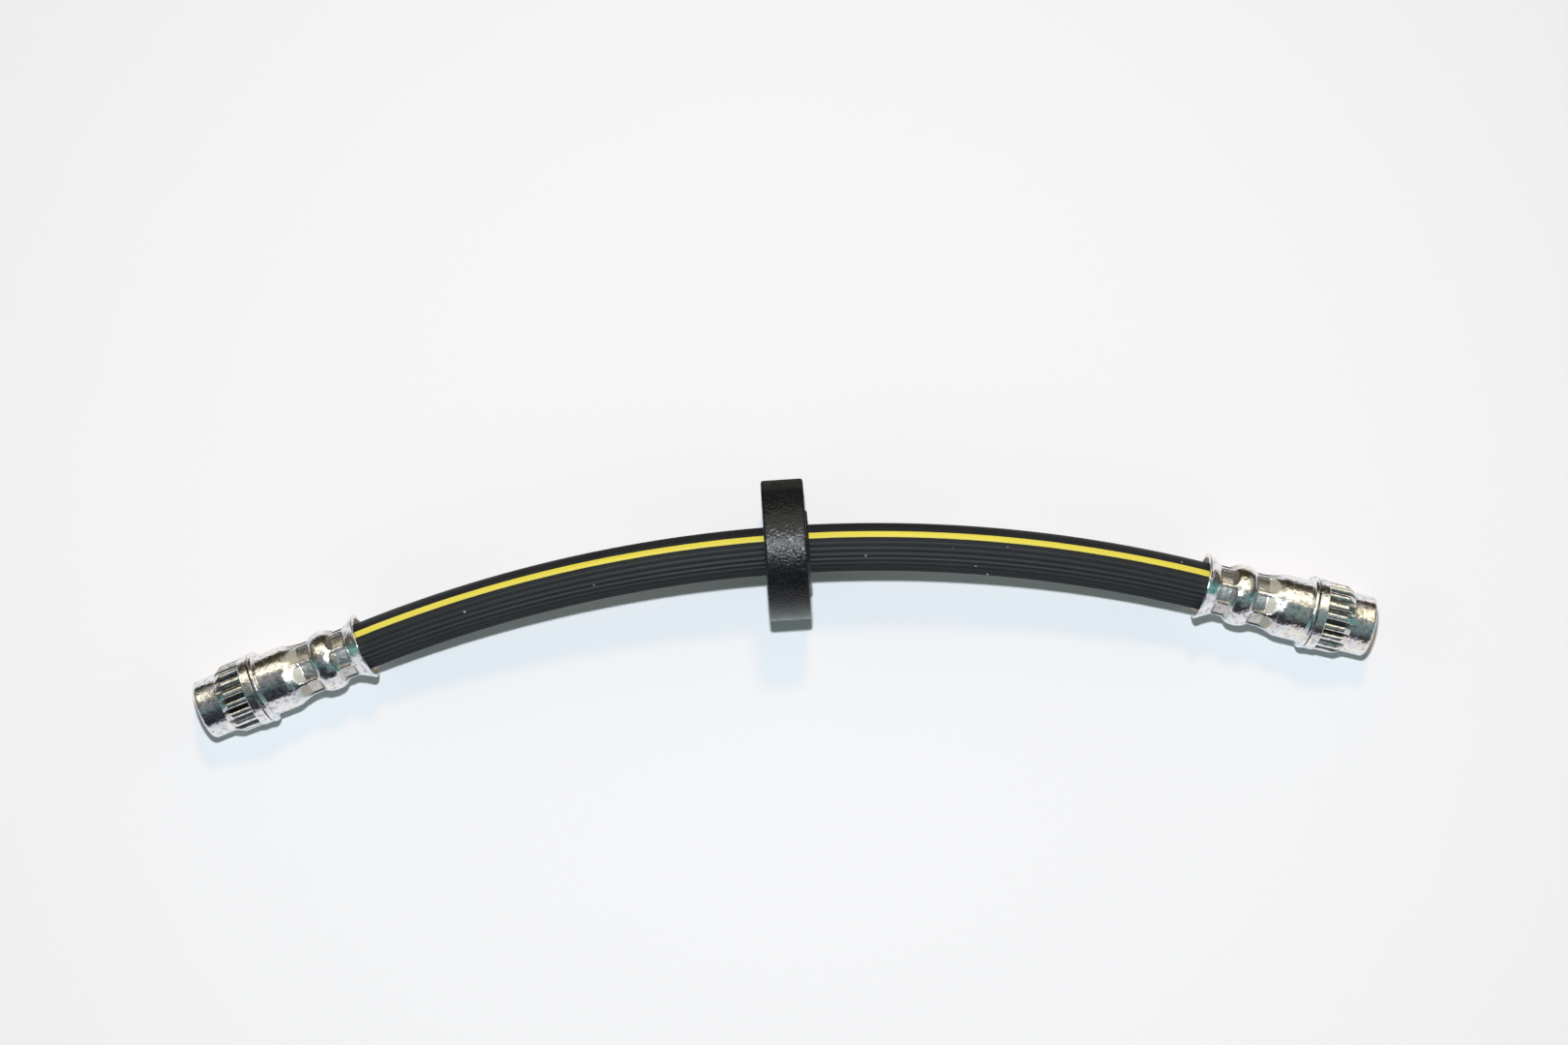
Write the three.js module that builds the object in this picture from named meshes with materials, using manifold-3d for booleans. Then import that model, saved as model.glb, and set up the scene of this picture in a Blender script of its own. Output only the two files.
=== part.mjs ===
// Hydraulic brake hose: a curved rubber hose with a crimped steel end fitting at each end and a
// rubber ring grommet on its middle. Millimetres, +Z up. The hose lies on its grommet and on the
// toothed collars of its two fittings, and its arc rises towards +Y.
import * as THREE from "three";
import { mergeVertices } from "three/addons/utils/BufferGeometryUtils.js";
import Module from "manifold-3d";

// The whole hose
const overallLength = 265; // along the centreline, from one port face to the other
const bendRadius = 288; // of the arc between the two fittings
const fitGap = 0.3; // left between any two pieces that touch
const shellTurn = 10.5; // degrees from the top of the arc's plane to the middle of a jaw flat
const leftToothTurn = 7; // and to the middle of a tooth: each body was staked as it came
const rightToothTurn = 19.5;

// Hose
const hoseDiameter = 10.5;
const hoseBore = 3.2;
const ribCount = 30; // fine ribs moulded along the cover
const ribDepth = 0.15;
const smoothBandFrom = 47; // degrees from the top of the arc's plane towards its outer side,
const smoothBandTo = 103; // the band left without ribs

// Grommet
const grommetDiameter = 30.8;
const grommetWidth = 9.2;
const grommetRound = 0.6;
const grommetOffset = 1.7; // from the middle of the hose towards the right fitting
const hubDiameter = 16.8;
const hubHeight = 0.5;

// Fitting body, from the port face inwards
const portThread = 10; // outer diameter of the pipe nut's thread
const portPitch = 1;
const portDepth = 11;
const portChamfer = 0.6;
const seatAngle = 59; // degrees between the seat's cone and the axis
const noseWall = 1.7; // outside the thread's outer diameter
const noseLength = 5.3;
const noseChamfer = 0.55;
const toothCount = 18;
const toothHeight = 0.9;
const toothTopWidth = 1.25;
const toothValleyWidth = 0.4;
const toothLeadLength = 1.7; // the cone on the teeth's front ends
const toothRootStep = 0.15; // valley floor above the nose
const toothLength = 6.1;
const bandStep = 0.2; // the plain band above the teeth
const bandWidth = 2.2;
const bandChamfer = 0.15;
const spigotInset = 1.75; // from the shell's inner wall to the spigot's neck
const stakeHeight = 0.6; // the spigot's end, spread over the shell's floor
const stakeLength = 0.8;
const nippleStretch = 0.15; // nipple radius over the hose's free bore
const nippleWall = 0.65;
const nippleSetback = 2; // from the nipple's end to the shell's mouth
const barbCount = 5;
const barbDepth = 0.2;
const barbPitch = 2.6;

// Crimp shell, from its floor to its mouth
const shellWall = 1;
const floorThickness = 1.2;
const entryClearance = 0.7; // between the free hose and the shell before crimping
const rimHeight = 1.2; // the rolled rim above the barrel
const rimWidth = 0.9;
const rimRound = 0.3;
const rimFillet = 0.3;
const barrelLength = 6.6;
const shoulderLength = 1.9; // the barrel's rounded end
const shoulderDrop = 0.35;
const jawCount = 8;
const jawWidth = 2.4;
const rearCrimpDepth = 1.5; // from the barrel down to the jaw flats
const frontCrimpDepth = 1.8;
const rampLength = 3; // the slope that each jaw presses beside the barrel
const crimpCornerDrop = 0.1; // rounding of the corners between two jaw flats
const bulgeLength = 5.8;
const bulgeDrop = 0.25; // bulge below the barrel
const mouthLength = 3.5;
const mouthClearance = 1.1; // between the hose and the mouth's inner edge
const mouthRound = 0.35;

// Faces per turn and per curve
const bodySides = 36;
const nippleSides = 18;
const jawFaces = 4; // across each jaw flat
const shellSides = jawFaces * jawCount;
const grommetSides = 44;
const boreSides = 14;
const hoseSteps = 12;
const curveSteps = 4;
const roundSteps = 2; // on small edge rounds and on what the shells hide

const degree = Math.PI / 180;
const hoseRadius = hoseDiameter / 2;

// Radii of the fitting
const portRadius = portThread / 2 - portPitch / 2;
const portMouthRadius = portThread / 2 + portChamfer / 4;
const noseRadius = portThread / 2 + noseWall;
const toothRootRadius = noseRadius + toothRootStep;
const toothTipRadius = toothRootRadius + toothHeight;
const bandRadius = toothTipRadius + bandStep;
const barrelInner = hoseRadius + entryClearance;
const barrelRadius = barrelInner + shellWall;
const shoulderRadius = barrelRadius - shoulderDrop;
const rimRadius = barrelRadius + rimHeight;
const bulgeRadius = barrelRadius - bulgeDrop;
const rearFlat = barrelRadius - rearCrimpDepth;
const frontFlat = barrelRadius - frontCrimpDepth;
const cornerFactor = 1 / Math.cos(Math.PI / jawCount);
const rearCorner = rearFlat * cornerFactor - crimpCornerDrop;
const frontCorner = frontFlat * cornerFactor - crimpCornerDrop;
const mouthInner = hoseRadius + mouthClearance;
const mouthRadius = mouthInner + shellWall;
const neckRadius = barrelInner - spigotInset;
const stakeRadius = neckRadius + stakeHeight;
const nippleRadius = hoseBore / 2 + nippleStretch;
const passageRadius = nippleRadius - nippleWall;

// Stations along the fitting, measured from the port face
const noseEnd = noseLength;
const toothEnd = noseEnd + toothLength;
const bandEnd = toothEnd + bandWidth;
const shellStart = bandEnd + fitGap;
const floorEnd = shellStart + floorThickness;
const stakeStart = floorEnd + fitGap;
const stakeEnd = stakeStart + stakeLength;
const rimEnd = shellStart + rimWidth;
const filletEnd = rimEnd + rimFillet;
const barrelEnd = filletEnd + barrelLength;
const rearCrimpStart = barrelEnd + rampLength;
const rearCrimpEnd = rearCrimpStart + jawWidth;
const frontCrimpStart = rearCrimpEnd + bulgeLength;
const frontCrimpEnd = frontCrimpStart + jawWidth;
const fittingLength = frontCrimpEnd + mouthLength;
const nippleEnd = fittingLength - nippleSetback;
const hoseStart = stakeEnd + fitGap;

// Centreline: an arc between the two mouths, carried on straight through each fitting
const halfLength = overallLength / 2;
const halfFree = halfLength - fittingLength;

function centreline(along) {
  const bent = Math.min(Math.max(along, -halfFree), halfFree);
  const turn = bent / bendRadius;
  const tangent = new THREE.Vector3(Math.cos(turn), -Math.sin(turn), 0);
  const point = new THREE.Vector3(bendRadius * Math.sin(turn), bendRadius * (Math.cos(turn) - 1), 0);
  point.addScaledVector(tangent, along - bent);
  return { point, tangent };
}

// Solid joining and cutting
const wasm = await Module();
wasm.setup();

function solidOf(geometry) {
  const bare = geometry.clone();
  bare.deleteAttribute("normal");
  bare.deleteAttribute("uv");
  const merged = mergeVertices(bare);
  const vertProperties = merged.getAttribute("position").array;
  const triVerts = new Uint32Array(merged.getIndex().array);
  return new wasm.Manifold(new wasm.Mesh({ numProp: 3, vertProperties, triVerts }));
}

function geometryOf(solid) {
  const mesh = solid.getMesh();
  const geometry = new THREE.BufferGeometry();
  geometry.setAttribute("position", new THREE.BufferAttribute(mesh.vertProperties, 3));
  geometry.setIndex(new THREE.BufferAttribute(mesh.triVerts, 1));
  geometry.computeVertexNormals();
  return geometry;
}

// A profile is a path of (radius, station) revolved round the Y axis
function revolve(path, sides, steps = curveSteps) {
  return new THREE.LatheGeometry(path.getPoints(steps), sides);
}

// Crimp shell: a drawn steel cup, pressed onto the hose by two rings of flat jaws. Each jaw
// leaves a flat, and the rear ring's jaws also press a slope into the end of the barrel.
const rampSlope = (shoulderRadius - rearFlat) / rampLength;

function jawDistance(station) {
  if (station >= barrelEnd && station < rearCrimpStart) {
    return rearFlat + rampSlope * (rearCrimpStart - station);
  }
  if (station >= rearCrimpStart && station <= rearCrimpEnd) {
    return rearFlat;
  }
  if (station >= frontCrimpStart && station <= frontCrimpEnd) {
    return frontFlat;
  }
  return Infinity;
}

function pressJaws(geometry) {
  const position = geometry.getAttribute("position");
  const pitch = (2 * Math.PI) / jawCount;
  for (let i = 0; i < position.count; i += 1) {
    const radius = Math.hypot(position.getX(i), position.getZ(i));
    const angle = Math.atan2(position.getX(i), position.getZ(i));
    const fromJaw = angle - pitch * Math.round(angle / pitch);
    const pressed = Math.min(radius, jawDistance(position.getY(i)) / Math.cos(fromJaw));
    position.setX(i, pressed * Math.sin(angle));
    position.setZ(i, pressed * Math.cos(angle));
  }
}

// Each four-cornered patch is split along its outer diagonal, so the flats keep clean edges
function splitOutwards(geometry) {
  const position = geometry.getAttribute("position");
  const index = geometry.getIndex();
  const reach = (i, j) => {
    return Math.hypot(position.getX(i) + position.getX(j), position.getZ(i) + position.getZ(j));
  };
  for (let patch = 0; patch < index.count; patch += 6) {
    const [a, b, d, c] = [0, 1, 2, 3].map((corner) => index.getX(patch + corner));
    if (reach(a, c) > reach(b, d)) {
      [a, b, c, a, c, d].forEach((vertex, corner) => index.setX(patch + corner, vertex));
    }
  }
}

// The cup's inner wall, drawn from the floor to the mouth and moved inwards by an inset
function innerWall(path, inset) {
  const rearInner = rearFlat - shellWall - inset;
  const frontInner = frontFlat - shellWall - inset;
  const bulgeInner = bulgeRadius - shellWall - inset;
  const swell = bulgeInner + (bulgeInner - rearInner) / 3;
  path.lineTo(barrelInner - inset, barrelEnd - shellWall / 2);
  path.lineTo(rearInner, rearCrimpStart - shellWall / 3);
  path.lineTo(rearInner, rearCrimpEnd);
  path.bezierCurveTo(
    swell, rearCrimpEnd + bulgeLength / 4,
    swell, frontCrimpStart - bulgeLength / 4,
    frontInner, frontCrimpStart,
  );
  path.lineTo(frontInner, frontCrimpEnd + shellWall / 3);
}

function crimpShell() {
  const path = new THREE.Path();
  path.moveTo(rimRadius - rimRound, shellStart);
  path.lineTo(rimRadius, shellStart + rimRound);
  path.lineTo(rimRadius, rimEnd - rimRound);
  path.lineTo(rimRadius - rimRound, rimEnd);
  path.quadraticCurveTo(barrelRadius, rimEnd, barrelRadius, filletEnd);
  path.lineTo(barrelRadius, barrelEnd - shoulderLength);
  path.quadraticCurveTo(barrelRadius, barrelEnd - shoulderLength / 2, shoulderRadius, barrelEnd);
  for (let face = 1; face <= jawFaces / 2; face += 1) {
    const sunk = shoulderRadius * (1 - Math.cos((2 * Math.PI * face) / shellSides));
    path.lineTo(shoulderRadius, barrelEnd + sunk / rampSlope);
  }
  path.lineTo(rearCorner, rearCrimpStart);
  path.lineTo(rearCorner, rearCrimpEnd);
  const swell = bulgeRadius + (bulgeRadius - rearCorner) / 3;
  path.bezierCurveTo(
    swell, rearCrimpEnd + bulgeLength / 4,
    swell, frontCrimpStart - bulgeLength / 4,
    frontCorner, frontCrimpStart,
  );
  path.lineTo(frontCorner, frontCrimpEnd);
  path.lineTo(mouthRadius, fittingLength - mouthRound);
  path.lineTo(mouthRadius - mouthRound, fittingLength);
  path.lineTo(mouthInner, fittingLength);
  const wall = new THREE.Path();
  wall.moveTo(barrelInner, floorEnd);
  innerWall(wall, 0);
  const inside = wall.getPoints(curveSteps).reverse();
  inside.forEach((point) => path.lineTo(point.x, point.y));
  path.lineTo(neckRadius + fitGap, floorEnd);
  path.lineTo(neckRadius + fitGap, shellStart);
  path.lineTo(rimRadius - rimRound, shellStart);
  const geometry = revolve(path, shellSides);
  pressJaws(geometry);
  splitOutwards(geometry);
  return geometry;
}

// Fitting body: a turned steel end with a threaded port, a toothed collar that keys it into a
// bracket, a spigot staked into the shell, and a barbed nipple that holds the hose's bore.
function turnedBlank() {
  const path = new THREE.Path();
  path.moveTo(0, 0);
  path.lineTo(noseRadius - noseChamfer, 0);
  path.lineTo(noseRadius, noseChamfer);
  path.lineTo(noseRadius, noseEnd);
  path.lineTo(toothRootRadius, noseEnd + toothRootStep);
  path.lineTo(toothRootRadius, toothEnd);
  path.lineTo(bandRadius - bandChamfer, toothEnd);
  path.lineTo(bandRadius, toothEnd + bandChamfer);
  path.lineTo(bandRadius, bandEnd - bandChamfer);
  path.lineTo(bandRadius - bandChamfer, bandEnd);
  path.lineTo(neckRadius, bandEnd);
  path.lineTo(neckRadius, stakeStart);
  path.lineTo(stakeRadius, stakeStart);
  path.lineTo(stakeRadius, stakeEnd);
  path.lineTo(0, stakeEnd);
  return solidOf(revolve(path, bodySides));
}

function toothedCollar() {
  const outline = new THREE.Shape();
  const pitch = (2 * Math.PI) / toothCount;
  const topHalf = toothTopWidth / 2 / toothTipRadius;
  const rootHalf = pitch / 2 - toothValleyWidth / 2 / toothRootRadius;
  const corners = [
    [-rootHalf, toothRootRadius],
    [-topHalf, toothTipRadius],
    [topHalf, toothTipRadius],
    [rootHalf, toothRootRadius],
  ];
  for (let tooth = 0; tooth < toothCount; tooth += 1) {
    for (const [offset, radius] of corners) {
      const angle = tooth * pitch + offset;
      outline.lineTo(radius * Math.sin(angle), radius * Math.cos(angle));
    }
  }
  const depth = toothLength + bandWidth / 2;
  const collar = new THREE.ExtrudeGeometry(outline, { depth, bevelEnabled: false });
  collar.rotateX(Math.PI / 2);
  collar.translate(0, noseEnd + depth, 0);
  return solidOf(collar).intersect(leadCone());
}

// The cone that bevels the front ends of the teeth
function leadCone() {
  const beyond = 1 + fitGap / toothHeight;
  const path = new THREE.Path();
  path.moveTo(0, noseEnd);
  path.lineTo(toothRootRadius, noseEnd);
  path.lineTo(toothRootRadius + toothHeight * beyond, noseEnd + toothLeadLength * beyond);
  path.lineTo(toothRootRadius + toothHeight * beyond, bandEnd);
  path.lineTo(0, bandEnd);
  return solidOf(revolve(path, bodySides));
}

function barbedNipple() {
  const path = new THREE.Path();
  path.moveTo(0, stakeEnd - stakeLength / 2);
  path.lineTo(nippleRadius, stakeEnd - stakeLength / 2);
  path.lineTo(nippleRadius, barrelEnd);
  for (let barb = 0; barb < barbCount; barb += 1) {
    const crest = barrelEnd + barb * barbPitch;
    path.lineTo(nippleRadius - barbDepth, crest);
    path.lineTo(nippleRadius, crest + barbPitch);
  }
  path.lineTo(nippleRadius, nippleEnd - barbDepth);
  path.lineTo(nippleRadius - barbDepth, nippleEnd);
  path.lineTo(0, nippleEnd);
  return solidOf(revolve(path, nippleSides));
}

// The port's chamfer, thread bore and seat cone, and the passage through the nipple
function drilledWay() {
  const seatLength = (portRadius - passageRadius) / Math.tan(seatAngle * degree);
  const path = new THREE.Path();
  path.moveTo(0, -portChamfer);
  path.lineTo(portMouthRadius, -portChamfer);
  path.lineTo(portMouthRadius, 0);
  path.lineTo(portRadius, portChamfer);
  path.lineTo(portRadius, portDepth);
  path.lineTo(passageRadius, portDepth + seatLength);
  path.lineTo(passageRadius, nippleEnd + portChamfer);
  path.lineTo(0, nippleEnd + portChamfer);
  return solidOf(revolve(path, nippleSides));
}

function fittingBody() {
  const turned = turnedBlank().add(toothedCollar()).add(barbedNipple());
  return geometryOf(turned.subtract(drilledWay()));
}

// Hose: one rubber moulding. Its straight ends fill the crimped shells and are stretched over
// the nipples, and the free length between the mouths carries the ribs.
function hoseEnd() {
  const path = new THREE.Path();
  path.moveTo(barrelInner - fitGap, hoseStart);
  innerWall(path, fitGap);
  const frontInner = frontFlat - shellWall;
  const flareStart = frontCrimpEnd + shellWall / 3;
  const flare = (mouthInner - frontInner) / (fittingLength - flareStart);
  path.lineTo(hoseRadius, flareStart + (hoseRadius + fitGap - frontInner) / flare);
  return path.getPoints(roundSteps);
}

function boreEnd() {
  const path = new THREE.Path();
  path.moveTo(nippleRadius + fitGap, hoseStart - shellWall);
  path.lineTo(nippleRadius + fitGap, nippleEnd + fitGap);
  path.lineTo(hoseBore / 2, nippleEnd + fitGap + nippleWall);
  return path.getPoints(roundSteps);
}

// The straight rod whose ends follow one profile, with its middle divided for the bend
function straightRod(end, radius, sides) {
  const left = end.map((point) => new THREE.Vector2(point.x, point.y - halfLength));
  const right = left.map((point) => new THREE.Vector2(point.x, -point.y)).reverse();
  const middle = [];
  for (let step = 0; step <= hoseSteps; step += 1) {
    middle.push(new THREE.Vector2(radius, -halfFree + (2 * halfFree * step) / hoseSteps));
  }
  const start = new THREE.Vector2(0, left[0].y);
  const finish = new THREE.Vector2(0, -left[0].y);
  return new THREE.LatheGeometry([start, ...left, ...middle, ...right, finish], sides);
}

function mouldRibs(geometry) {
  const position = geometry.getAttribute("position");
  for (let i = 0; i < position.count; i += 1) {
    const radius = Math.hypot(position.getX(i), position.getZ(i));
    const angle = Math.atan2(position.getX(i), position.getZ(i));
    const outward = -angle / degree;
    const smooth = outward > smoothBandFrom && outward < smoothBandTo;
    const free = Math.abs(position.getY(i)) <= halfFree + mouthClearance;
    if (free && !smooth) {
      const ribbed = radius - (ribDepth * (1 - Math.cos(ribCount * angle))) / 2;
      position.setX(i, ribbed * Math.sin(angle));
      position.setZ(i, ribbed * Math.cos(angle));
    }
  }
}

function bendToCentreline(geometry) {
  const position = geometry.getAttribute("position");
  const up = new THREE.Vector3(0, 0, 1);
  for (let i = 0; i < position.count; i += 1) {
    const { point, tangent } = centreline(position.getY(i));
    const side = new THREE.Vector3().crossVectors(tangent, up);
    point.addScaledVector(side, position.getX(i));
    point.addScaledVector(up, position.getZ(i));
    position.setXYZ(i, point.x, point.y, point.z);
  }
  return geometry;
}

function hose() {
  const cover = straightRod(hoseEnd(), hoseRadius, 2 * ribCount);
  mouldRibs(cover);
  const bore = straightRod(boreEnd(), hoseBore / 2, boreSides);
  const cutter = solidOf(bendToCentreline(bore));
  return geometryOf(solidOf(bendToCentreline(cover)).subtract(cutter));
}

// Grommet: a thick moulded rubber ring with rounded edges and a low hub on its right face
function grommet() {
  const outer = grommetDiameter / 2;
  const inner = hoseRadius + fitGap;
  const hub = hubDiameter / 2;
  const left = -grommetWidth / 2;
  const right = grommetWidth / 2;
  const path = new THREE.Path();
  path.moveTo(inner, left);
  path.lineTo(outer - grommetRound, left);
  path.absarc(outer - grommetRound, left + grommetRound, grommetRound, -Math.PI / 2, 0, false);
  path.absarc(outer - grommetRound, right - grommetRound, grommetRound, 0, Math.PI / 2, false);
  path.lineTo(hub, right);
  path.lineTo(hub - hubHeight / 2, right + hubHeight);
  path.lineTo(inner, right + hubHeight);
  path.lineTo(inner, left);
  return revolve(path, grommetSides, roundSteps);
}

// Materials
const hoseRubber = new THREE.MeshStandardMaterial({ color: 0x1c1e22, roughness: 0.62, metalness: 0 });
const grommetRubber = new THREE.MeshStandardMaterial({ color: 0x121315, roughness: 0.8, metalness: 0 });
const zincSteel = new THREE.MeshStandardMaterial({ color: 0xc6cac8, roughness: 0.26, metalness: 1 });
const crimpedSteel = new THREE.MeshStandardMaterial({ color: 0xcfd1d3, roughness: 0.3, metalness: 1 });

function piece(name, geometry, material) {
  const mesh = new THREE.Mesh(geometry, material);
  mesh.name = name;
  return mesh;
}

// Assembly, first flat in the plane of the hose's arc
const arc = new THREE.Group();
arc.add(piece("hose", hose(), hoseRubber));

const ring = piece("grommet", grommet(), grommetRubber);
const ringPlace = centreline(grommetOffset);
ring.position.copy(ringPlace.point);
ring.quaternion.setFromUnitVectors(new THREE.Vector3(0, 1, 0), ringPlace.tangent);
arc.add(ring);

const fittings = [
  { side: "left", end: -1, toothTurn: leftToothTurn },
  { side: "right", end: 1, toothTurn: rightToothTurn },
];
for (const { side, end, toothTurn } of fittings) {
  const fitting = new THREE.Group();
  const { point, tangent } = centreline(end * halfLength);
  const body = piece(`${side}_fitting_body`, fittingBody(), zincSteel);
  const shell = piece(`${side}_crimp_shell`, crimpShell(), crimpedSteel);
  body.rotateY(end * toothTurn * degree);
  shell.rotateY(end * shellTurn * degree);
  fitting.add(body, shell);
  fitting.position.copy(point);
  fitting.quaternion.setFromUnitVectors(new THREE.Vector3(0, 1, 0), tangent.multiplyScalar(-end));
  arc.add(fitting);
}

// Rest: the arc leans about X until the grommet and the fittings touch the same level
arc.updateMatrixWorld(true);

function pointsOf(meshes) {
  const points = [];
  for (const mesh of meshes) {
    const position = mesh.geometry.getAttribute("position");
    for (let i = 0; i < position.count; i += 1) {
      points.push(new THREE.Vector3().fromBufferAttribute(position, i).applyMatrix4(mesh.matrixWorld));
    }
  }
  return points;
}

function lowest(points, lean) {
  const heights = points.map((point) => point.y * Math.sin(lean) + point.z * Math.cos(lean));
  return heights.reduce((low, height) => Math.min(low, height), Infinity);
}

const ringPoints = pointsOf([ring]);
const fittingGroups = arc.children.filter((child) => child.isGroup);
const fittingPoints = pointsOf(fittingGroups.flatMap((group) => group.children));
let tooFlat = 0;
let tooSteep = Math.PI / 3;
for (let step = 0; step < 40; step += 1) {
  const lean = (tooFlat + tooSteep) / 2;
  if (lowest(fittingPoints, lean) > lowest(ringPoints, lean)) {
    tooFlat = lean;
  } else {
    tooSteep = lean;
  }
}
arc.rotation.x = tooFlat;

// Origin: the middle of the hose's box, at the level it lies on
const brakeHose = new THREE.Group();
brakeHose.add(arc);
brakeHose.updateMatrixWorld(true);
const box = new THREE.Box3().setFromObject(brakeHose, true);
const middle = box.getCenter(new THREE.Vector3());
brakeHose.position.set(-middle.x, -middle.y, -box.min.z);

export default brakeHose;
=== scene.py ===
import math

import bpy
import numpy as np
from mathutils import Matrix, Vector


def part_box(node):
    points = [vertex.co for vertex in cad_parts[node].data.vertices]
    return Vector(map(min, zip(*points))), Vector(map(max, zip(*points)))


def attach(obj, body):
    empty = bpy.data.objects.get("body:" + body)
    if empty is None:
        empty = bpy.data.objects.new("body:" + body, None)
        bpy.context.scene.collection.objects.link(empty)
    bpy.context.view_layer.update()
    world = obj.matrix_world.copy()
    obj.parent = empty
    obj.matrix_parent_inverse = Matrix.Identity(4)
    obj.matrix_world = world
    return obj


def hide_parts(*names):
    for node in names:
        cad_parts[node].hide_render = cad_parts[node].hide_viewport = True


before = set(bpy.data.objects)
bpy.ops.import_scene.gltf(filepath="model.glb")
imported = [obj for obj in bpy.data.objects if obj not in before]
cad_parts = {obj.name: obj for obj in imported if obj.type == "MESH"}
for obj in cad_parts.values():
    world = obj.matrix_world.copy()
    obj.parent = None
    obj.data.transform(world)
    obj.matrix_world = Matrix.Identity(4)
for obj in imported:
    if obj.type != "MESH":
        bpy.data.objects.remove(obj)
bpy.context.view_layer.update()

# Camera: it looks straight down on the hose from 0.82 m, as the photograph does, and is turned
# a little so that the hose's right end stands higher in the picture.
CAMERA_PLACE = (0.0017, 0.0145, 0.82)
CAMERA_TURN = math.radians(-4.1)
FOCAL_LENGTH_MM = 84.46
SENSOR_WIDTH_MM = 36.0

camera_data = bpy.data.cameras.new("camera")
camera_data.lens = FOCAL_LENGTH_MM
camera_data.sensor_width = SENSOR_WIDTH_MM
camera = bpy.data.objects.new("camera", camera_data)
camera.location = CAMERA_PLACE
camera.rotation_euler = (0.0, 0.0, CAMERA_TURN)
bpy.context.collection.objects.link(camera)
bpy.context.scene.camera = camera

# Hose: one extruded rubber moulding, 10.5 mm across, with fine ribs along it, a smooth band and
# one yellow stripe. It keeps the arc it was packed in, and its two straight ends sit in the
# crimped shells, squeezed between their walls and the nipples.
OVERALL_LENGTH = 0.265
BEND_RADIUS = 0.288
FITTING_LENGTH = 0.0388
LEAN = math.radians(17.741)  # about X, from lying flat to resting on the grommet
GROMMET_OFFSET = 0.0017
HOSE_RADIUS = 0.00525
HOSE_BORE_RADIUS = 0.0016
STRETCHED_BORE_RADIUS = 0.00205
HOSE_START = 0.0168  # from the port face to the hose's cut end
NIPPLE_END = 0.0368
SQUEEZED_WALL = (  # (radius, distance from the port face), 0.3 mm inside the shell
    (0.00565, HOSE_START), (0.00565, 0.0211),  # in the barrel
    (0.00415, 0.0244), (0.00415, 0.0271),  # under the rear jaws
    (0.00530, 0.0300),  # in the bulge
    (0.00385, 0.0329), (0.00385, 0.0357),  # under the front jaws
    (HOSE_RADIUS, 0.0377),  # let out in the flared mouth
)
STRETCHED_BORE = (  # the same for the bore, from past the nipple to the cut end
    (HOSE_BORE_RADIUS, NIPPLE_END + 0.0012),
    (STRETCHED_BORE_RADIUS, NIPPLE_END + 0.0004), (STRETCHED_BORE_RADIUS, HOSE_START),
)
WALL_STEPS = 121
BORE_STEPS = 61
RIB_COUNT = 30
RIB_DEPTH = 0.00022
RIB_SHARPNESS = 2.5
RIB_SAMPLES = 10
RIBS_PAST_MOUTH = 0.0011
SMOOTH_BAND = (math.radians(47), math.radians(103))  # from the arc's top towards its outer side
STRIPE_PLACE = math.radians(51.2)
STRIPE_WIDTH = 0.00138
STRIPE_BLUR = 0.0012  # in turns round the hose, as is the wobble
STRIPE_WOBBLE = 0.0011

half_length = OVERALL_LENGTH / 2
half_free = half_length - FITTING_LENGTH
lean_turn = np.array([
    [1.0, 0.0, 0.0],
    [0.0, math.cos(LEAN), -math.sin(LEAN)],
    [0.0, math.sin(LEAN), math.cos(LEAN)],
])
arc_up = lean_turn @ np.array([0.0, 0.0, 1.0])


def flat_centreline(along):
    """Points and directions of the middle line before it leans: an arc of the bend radius
    between the two mouths, and straight lines on through the fittings."""
    along = np.asarray(along, float)
    bent = np.clip(along, -half_free, half_free)
    turn = bent / BEND_RADIUS
    direction = np.stack([np.cos(turn), -np.sin(turn), np.zeros_like(turn)], -1)
    arc = np.stack([np.sin(turn), np.cos(turn) - 1.0, np.zeros_like(turn)], -1)
    return BEND_RADIUS * arc + (along - bent)[..., None] * direction, direction


grommet_low, grommet_high = (np.array(corner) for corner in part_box("grommet"))
grommet_middle = (grommet_low + grommet_high) / 2
ring_place = lean_turn @ flat_centreline(GROMMET_OFFSET)[0]
apex = np.array([0.0, grommet_middle[1] - ring_place[1], grommet_middle[2] - ring_place[2]])


def centreline(along):
    """The leaned middle line: the flat one turned about X and lifted to the frame's height."""
    point, direction = flat_centreline(along)
    return point @ lean_turn.T + apex, direction @ lean_turn.T


def round_line(point, side, radius, angle):
    """A point beside a line: from the line's point, radius times the sine of the angle to the
    given side plus radius times its cosine along the arc's top."""
    across = (radius * np.sin(angle))[..., None] * side
    return point + across + (radius * np.cos(angle))[..., None] * arc_up


def turned_about(outline, angle):
    """Columns of an outline, each repeated at every angle, and the angles for every row."""
    columns = [np.repeat(column[:, None], len(angle), axis=1) for column in outline.T]
    return *columns, np.repeat(angle[None, :], len(outline), axis=0)


def even_angles(count):
    """Angles of so many even steps round a full turn."""
    return np.arange(count) * (2 * math.pi / count)


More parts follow.
